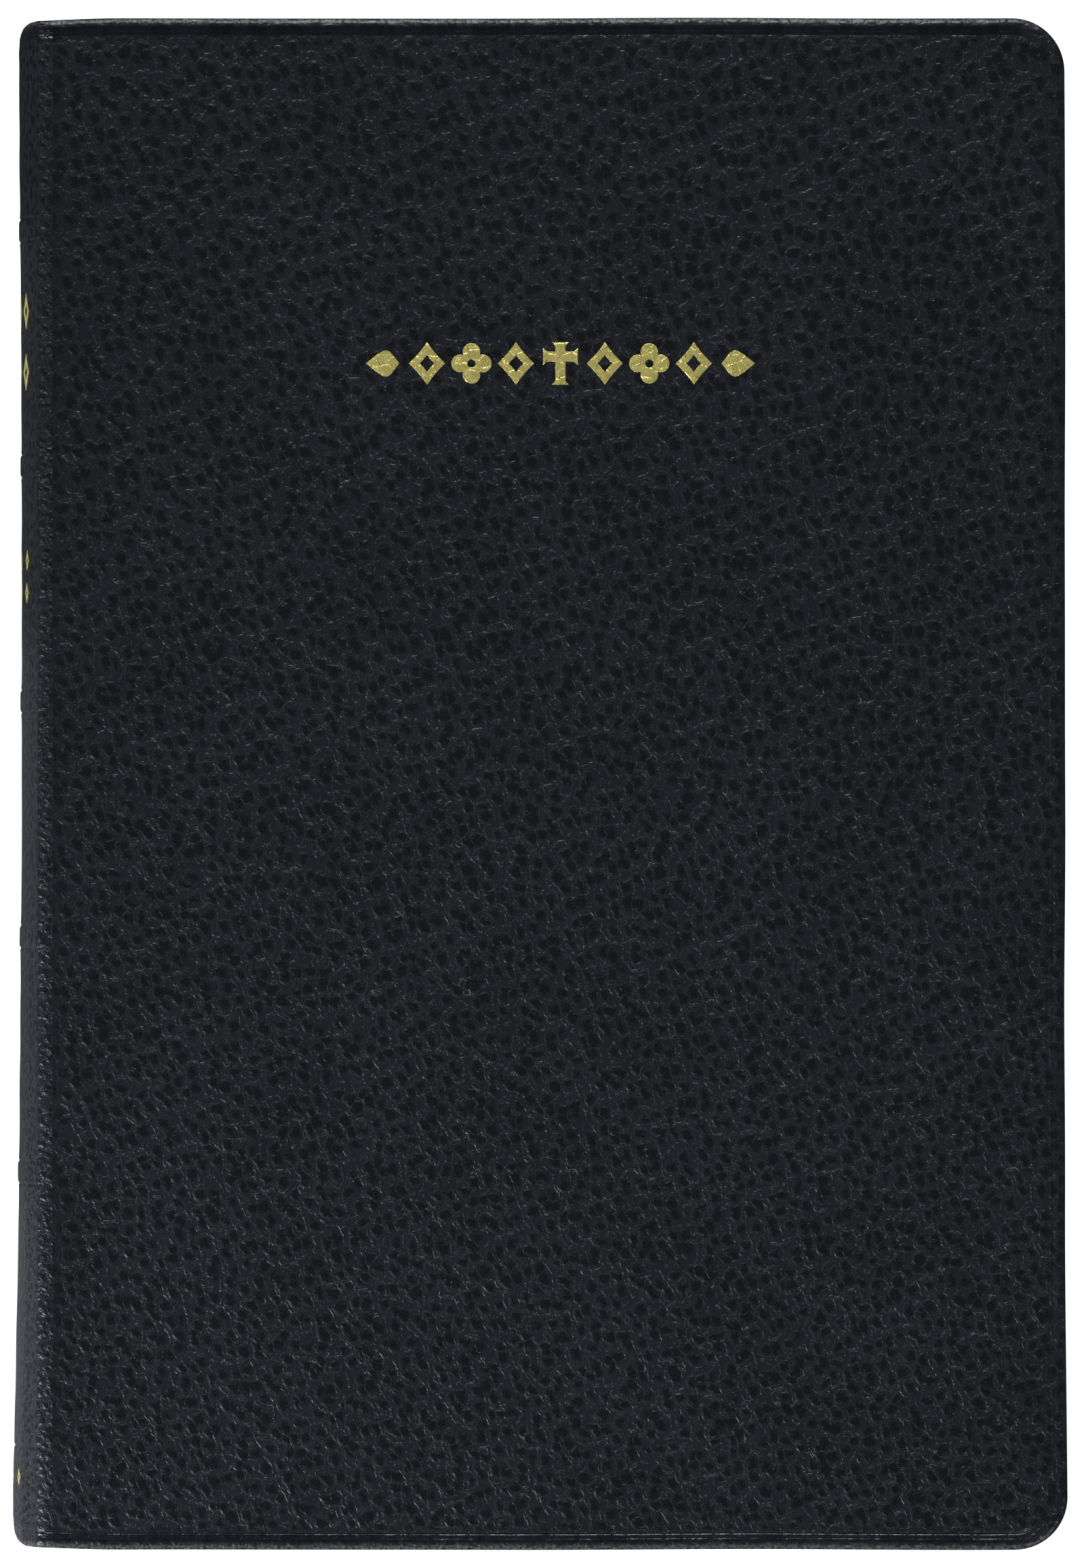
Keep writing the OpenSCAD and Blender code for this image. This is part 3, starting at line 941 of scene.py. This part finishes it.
def foil_solid(bm, loops, centre, flip):
    """Adds one flat figure of the foil's thickness."""
    edges = []
    for loop in loops:
        verts = [bm.verts.new((centre[0] + flip * x, centre[1] + y, 0)) for x, y in loop]
        edges += [bm.edges.new(pair) for pair in zip(verts, verts[1:] + verts[:1])]
    filled = bmesh.ops.triangle_fill(bm, edges=edges, use_beauty=True, use_dissolve=False)
    faces = [f for f in filled["geom"] if isinstance(f, bmesh.types.BMFace)]
    grown = bmesh.ops.extrude_face_region(bm, geom=faces)["geom"]
    for v in grown:
        if isinstance(v, bmesh.types.BMVert):
            v.co.z += FOIL_T


def foil_piece(name, figures, to_space):
    """A mesh of stamped figures, each (loops, centre, flip), bevelled and put in place."""
    bm = bmesh.new()
    for loops, centre, flip in figures:
        foil_solid(bm, loops, centre, flip)
    bmesh.ops.recalc_face_normals(bm, faces=bm.faces)
    rims = [e for e in bm.edges if len(e.link_faces) == 2 and e.calc_face_angle() > 1
            and all(v.co.z > FOIL_T / 2 for v in e.verts)]
    bmesh.ops.bevel(bm, geom=rims, offset=FOIL_BEVEL, segments=2, affect="EDGES", profile=0.5)
    bmesh.ops.triangulate(bm, faces=bm.faces)
    flat = np.array([v.co for v in bm.verts])
    points = to_space(flat[:, 0], flat[:, 1], FOIL_T - flat[:, 2] - FOIL_RISE)
    faces = [[v.index for v in f.verts] for f in bm.faces]
    bm.free()
    skin = np.column_stack([flat[:, :2], 0 * flat[:, 0]])
    return make_piece(name, points, faces, [gold_foil], vectors={"skin": skin}, sharp=50)


def build_stamping():
    centre_x = sum(box_mm("title_foil"))[0] / 2
    h = TITLE_H
    figures = [(flared_cross(h * 0.82, h, h * 0.24), (centre_x, TITLE_Y), 1)]
    row = [pierced_lozenge(h * 0.86, h), quatrefoil(h * 0.95),
           pierced_lozenge(h * 0.86, h), tapered_leaf(h * 0.8, h * 0.62)]
    for side in (-1, 1):
        for i, loops in enumerate(row):
            figures.append((loops, (centre_x + side * (i + 1) * TITLE_PITCH, TITLE_Y), side))

    def on_cover(x, y, depth):
        return settle(np.column_stack([x, y]), depth, 1.0)

    title = foil_piece("title_stamping", figures, on_cover)
    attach(title, "front_cover")
    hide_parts("title_foil")
    marks = []
    for y, size in SPINE_ROWS:
        for k in range(SPINE_ROW_COUNT):
            s = APEX + SPINE_PITCH * (k - (SPINE_ROW_COUNT - 1) / 2)
            marks.append((pierced_lozenge(size * 0.8, size), (s, y), 1))

    def on_back(s, y, depth):
        return on_spine(s, y, depth + spine_relief(s, y))

    spine = foil_piece("spine_stamping", marks, on_back)
    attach(spine, "text_block")
    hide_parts("spine_foil")


# ---- Leaves

LEAF_R = 7.0
PASTEDOWN_R = 3.5
LEAF_BEND = 17
LEAF_SAG = 0.22
LEAF_CLEARANCE = 0.015
SECTION_LEVELS = 6
FOLD_DRAW = 0.45  # how far a fold's outer edges draw in towards the leaves
BEND_COLUMNS = 36
PAGE, GILT, FOLD = 0, 1, 2


def block_fore(z):
    """Fore-edge of the leaves at height z: hollow, as far as the spine side is round."""
    leaf_high = box_mm("section_01")[1]
    deep = math.sqrt(BLOCK_R ** 2 - (leaf_high[2] - MID_Z) ** 2)
    return leaf_high[0] + deep - math.sqrt(BLOCK_R ** 2 - (z - MID_Z) ** 2)


def slab_plan(x0, x1, half, radius, bend_to, rows):
    """Grid over a sheet from x0 to x1: fine where it bends, and rounded at two corners."""
    near = ticks(x0, x0 + (bend_to or 10), bend_to / BEND_COLUMNS if bend_to else 5)
    rest = np.linspace(near[-1], x1 - radius, 8)[1:]
    turn = np.linspace(0, 1, 11)[1:] * math.pi / 2
    xs = np.concatenate([near, rest, x1 - radius + radius * np.sin(turn)])
    straight = np.full(len(near) + len(rest), half)
    halves = np.concatenate([straight, half - radius * (1 - np.cos(turn))])
    across = np.linspace(-1, 1, rows + 1)
    return np.repeat(xs[:, None], len(across), 1), halves[:, None] * across[None, :]


def slab_mesh(grids):
    """Points and faces of a closed slab from its levels, and which kind each face is."""
    columns, rows = grids[0].shape[:2]
    index = np.arange(columns * rows).reshape(columns, rows)
    loop = np.concatenate([index[:, 0], index[-1, 1:], index[-2::-1, -1], index[0, -2::-1]])
    kinds = [GILT] * (2 * (columns - 1) + rows - 1) + [FOLD] * (rows - 1)
    points = [grids[0].reshape(-1, 3), grids[-1].reshape(-1, 3)]
    loops = [loop]
    for n, level in enumerate(grids[1:-1]):
        points.append(level.reshape(-1, 3)[loop[:-1]])
        numbers = 2 * index.size + n * (len(loop) - 1) + np.arange(len(loop) - 1)
        loops.append(np.concatenate([numbers, numbers[:1]]))
    loops.append(loop + index.size)
    faces = grid_faces(index) + grid_faces(index + index.size)
    which = [PAGE] * len(faces)
    for upper, lower in zip(loops, loops[1:]):
        faces += strip_faces(upper, lower)
        which += kinds
    return np.vstack(points), faces, which


def slab(levels, start_of, fore_of, half, radius, bend_to=None, sag=0.0, rows=16):
    """A sheet or a bundle of leaves, whose top dips by up to sag.

    levels are its heights from top to bottom. start_of and fore_of give its ends there.
    """
    grids = []
    for level, z in enumerate(levels):
        x0, x1 = start_of(z), fore_of(z)
        gx, gy = slab_plan(x0, x1, half, radius, bend_to, rows)
        inside = smooth(half - np.abs(gy), 0, 12) * smooth(gx - x0, 2, 14) * smooth(x1 - gx, 0, 12)
        dip = sag * inside * (0.5 + 0.5 * waves(gx, gy, 60, 12)) if level == 0 else 0 * gx
        grids.append(np.stack([gx, gy, z - dip], -1))
    return slab_mesh(grids)


def build_section(name, body):
    """One section: a bundle of thin leaves. A turning one is finely divided near its gutter, where the
    real leaves bend, and is not attached to a body.
    """
    low, high = box_mm(name)
    bends = body != "text_block"
    levels = np.linspace(high[2] - LEAF_CLEARANCE, low[2] + LEAF_CLEARANCE, SECTION_LEVELS)
    middle, half_t = (levels[0] + levels[-1]) / 2, (levels[0] - levels[-1]) / 2

    def start_of(z):
        if bends:
            return low[0]
        rise = min(1.0, abs(z - middle) / half_t)
        return low[0] + FOLD_DRAW * (1 - math.sqrt(1 - 0.98 * rise ** 2))

    points, faces, which = slab(levels, start_of, block_fore, high[1], LEAF_R,
                                bend_to=LEAF_BEND + 2 if bends else None, sag=LEAF_SAG)
    materials = [page_paper, gilt_edge, fold_paper]
    piece = make_piece(name.replace("section", "leaves"), points, faces, materials, which,
                       {"rest": points}, sharp=35)
    if bends:
        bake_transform(piece)
    else:
        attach(piece, body)
    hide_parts(name)


def build_sheet(node_name, piece_name, radius, bend):
    """An endpaper: a thin sheet, finely divided where the real sheet bends at the spine."""
    low, high = box_mm(node_name)
    levels = [high[2], low[2]]
    points, faces, _ = slab(levels, lambda z: low[0], lambda z: high[0], high[1], radius,
                            bend_to=bend + 1, rows=12)
    piece = make_piece(piece_name, points, faces, [endpaper], None, {"rest": points}, sharp=35)
    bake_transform(piece)
    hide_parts(node_name)


def build_leaves():
    for name, members in frame["record"]["behaviour"]["bodies"].items():
        for member in members:
            if member.startswith("section_"):
                build_section(member, name)
    joint_bend = JOINT_END_X - box_mm("front_pastedown")[0][0]
    for side in ("front", "back"):
        build_sheet(f"{side}_pastedown", f"{side}_pasted_endpaper",
                    PASTEDOWN_R, joint_bend)
        build_sheet(f"{side}_flyleaf", f"{side}_free_endpaper",
                    LEAF_R, LEAF_BEND)


# ---- Endbands

TURNS_PER_MM = 2.2
RINGS_PER_TURN = 6


def build_endband(node_name, piece_name):
    """A cord wound with two colours of silk, curved along the back of the leaves."""
    low, high = box_mm(node_name)
    radius = (high[1] - low[1]) / 2
    y = (high[1] + low[1]) / 2
    path_r = BLOCK_R - radius
    half_angle = math.asin((high[2] - MID_Z - 0.3) / path_r)
    length = 2 * half_angle * path_r
    along = np.linspace(0, length, round(length * TURNS_PER_MM * RINGS_PER_TURN))
    around = np.arange(20) / 20 * TAU
    s, turn = np.meshgrid(along, around, indexing="ij")
    angle = math.pi - half_angle + s / path_r
    winding = np.cos(TAU * TURNS_PER_MM * s + turn * 0.5)
    tube = radius * (0.95 + 0.05 * winding)
    reach = path_r + tube * np.cos(turn)
    x = SPINE_AXIS_X + reach * np.cos(angle)
    z = MID_Z + reach * np.sin(angle)
    points = np.stack([x, y + tube * np.sin(turn), z], -1)
    index = np.arange(s.size).reshape(s.shape)
    closed = np.concatenate([index, index[:, :1]], 1)
    faces = grid_faces(closed) + [index[0].tolist(), index[-1].tolist()]
    wound = np.stack([s, turn * radius, 0 * s], -1).reshape(-1, 3)
    piece = make_piece(piece_name, points.reshape(-1, 3), faces, [band_silk], None, {"wound": wound})
    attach(piece, "text_block")
    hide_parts(node_name)


# ---- Parts that keep their CAD shape

CAD_MATERIALS = {
    "board": grey_board, "infill": lining_paper, "hollow": lining_paper, "stiffener": grey_board,
    "mull_flap": mull_cloth, "spine_mull": spine_cloth, "section_folds": fold_paper,
    "sewing_thread": linen_thread, "spine_band": grey_board,
}


def dress_cad_nodes():
    for name, item in frame["nodes"].items():
        for key, material in CAD_MATERIALS.items():
            if key in name:
                item.data.materials.clear()
                item.data.materials.append(material)


# ---- Stage

VIEW_HEIGHT = 221.07344  # what the camera sees from top to bottom, at the front cover
CAMERA_RISE = 3000
CAMERA_X = -0.48


def build_camera():
    """A long lens straight over the book. The sensor's width lies along the taller side."""
    data = bpy.data.cameras.new("camera")
    data.sensor_width = 36
    data.lens = data.sensor_width * CAMERA_RISE / VIEW_HEIGHT
    camera = put("camera", data)
    camera.location = (CAMERA_X * MM, 0, (TOP_Z + CAMERA_RISE) * MM)
    bpy.context.scene.camera = camera


def add_light(name, kind, power, colour):
    data = bpy.data.lights.new(name, kind)
    data.energy = power
    data.color = colour
    return put(name, data)


def add_box_light(name, size, power, colour):
    lamp = add_light(name, "AREA", power, colour)
    lamp.data.shape = "RECTANGLE"
    lamp.data.size, lamp.data.size_y = size
    return lamp


def build_sun(name, azimuth, elevation, power, width, colour):
    """A soft light from that side (0 is the tail, 90 the fore-edge)."""
    lamp = add_light(name, "SUN", power, colour)
    lamp.data.angle = math.radians(width)
    lamp.rotation_euler = (math.radians(90 - elevation), 0, math.radians(azimuth))


def build_area(name, place_m, aim_m, size, power, spread, colour):
    """A soft box at one place, turned to another, whose light keeps within the spread."""
    lamp = add_box_light(name, size, power, colour)
    lamp.data.spread = math.radians(spread)
    lamp.location = place_m
    lamp.rotation_euler = (Vector(aim_m) - Vector(place_m)).to_track_quat("-Z", "Y").to_euler()


# Suns: name, azimuth, elevation, power, width and colour
SUNS = (
    ("head_light", 190, 27, 1.08, 20, (0.98, 0.99, 1.0)),
    ("foot_light", -36, 24, 0.30, 16, (0.94, 0.97, 1.0)),
    ("corner_light", 25, 22, 0.44, 8, (0.94, 0.97, 1.0)),
)
BOX_SIZE = (0.16, 0.12)
# Soft boxes: name, place, what they are turned to, size, power, spread and colour
BOXES = (
    ("left_box", (-0.32, -0.30, 0.15), (-0.04, -0.10, 0.03), BOX_SIZE, 0.23, 70, (0.90, 0.95, 1.0)),
    ("corner_box", (0.24, -0.34, 0.16), (0.03, -0.07, 0.03), (0.14, 0.10), 0.035, 70, (0.92, 0.96, 1.0)),
    ("head_box", (0.0, 0.42, 0.17), (-0.01, 0.09, 0.03), BOX_SIZE, 0.115, 75, (0.96, 0.98, 1.0)),
)
# Pale cards on the floor beside the spine, brighter towards the tail: (from y, to y, radiance)
FLOOR_CARDS = ((-0.22, -0.06, 0.34), (-0.06, 0.02, 0.17), (0.02, 0.08, 0.05))
CARD_X = (-0.30, -0.0775)
CARD_COLOUR = (0.90, 0.95, 1.0)
CARD_Z = 0.0005


def build_card(low_y, high_y, radiance):
    """A light that lies on the floor and shines up, unseen by the camera."""
    width, depth = CARD_X[1] - CARD_X[0], high_y - low_y
    power = radiance * math.pi * width * depth
    card = add_box_light("floor_card", (width, depth), power, CARD_COLOUR)
    card.location = (sum(CARD_X) / 2, (low_y + high_y) / 2, CARD_Z)
    card.rotation_euler = (math.pi, 0, 0)
    card.visible_camera = False


FLOOR_HALF = 30.0
FLOOR_Z = -0.0003


def build_floor():
    """A pale floor. Gloss looks past it, as if the book lay on a dull card."""
    material, tree = new_material("floor", Roughness=0.9, Emission_Strength=0.93)
    own = source(tree, "TexCoord", "Object")
    tone = mixed(noise(own, 3.0, 3), (0.80, 0.80, 0.80, 1), (0.84, 0.84, 0.84, 1))
    shader = tree.nodes["Principled BSDF"]
    tree.links.new(tone, shader.inputs["Base Color"])
    shader.inputs["Emission Color"].default_value = (1, 1, 1, 1)
    signs = ((-1, -1), (1, -1), (1, 1), (-1, 1))
    corners = [(FLOOR_HALF * x, FLOOR_HALF * y, 0) for x, y in signs]
    mesh = bpy.data.meshes.new("floor")
    mesh.from_pydata(corners, [], [(0, 1, 2, 3)])
    mesh.materials.append(material)
    floor = put("floor", mesh)
    floor.location.z = FLOOR_Z
    floor.visible_glossy = False


# Brightness of the studio by the height of the direction: -1 is down, 0 level and 1 up
TENT = (
    (-1.0, 0.03), (-0.15, 0.05), (0.05, 0.14), (0.50, 0.165), (0.78, 0.095), (0.93, 0.03), (1.0, 0.02),
)


def build_studio():
    """The light all round the book: a pale tent, brightest half-way up."""
    world = bpy.data.worlds.new("studio")
    world.use_nodes = True
    tree = world.node_tree
    generated = source(tree, "TexCoord", "Generated")
    up = node("SeparateXYZ", {0: generated}).outputs[2]
    ramp = node("ValToRGB", {0: times_add(up, 0.5, 0.5)})
    marks = ramp.color_ramp.elements
    while len(marks) < len(TENT):
        marks.new(0.5)
    for mark, (height, level) in zip(marks, TENT):
        mark.position = (height + 1) / 2
        mark.color = (level * 0.92, level * 0.97, level * 1.08, 1)
    background = tree.nodes["Background"]
    tree.links.new(ramp.outputs[0], background.inputs["Color"])
    background.inputs["Strength"].default_value = 1.0
    bpy.context.scene.world = world
    bpy.context.scene.view_settings.view_transform = "Standard"


def build_light():
    for card in FLOOR_CARDS:
        build_card(*card)
    for sun in SUNS:
        build_sun(*sun)
    for box in BOXES:
        build_area(*box)
    build_studio()


build_camera()
build_light()
build_floor()
build_leather()
build_stamping()
build_leaves()
build_endband("headband", "headband_silk")
build_endband("tailband", "tailband_silk")
dress_cad_nodes()
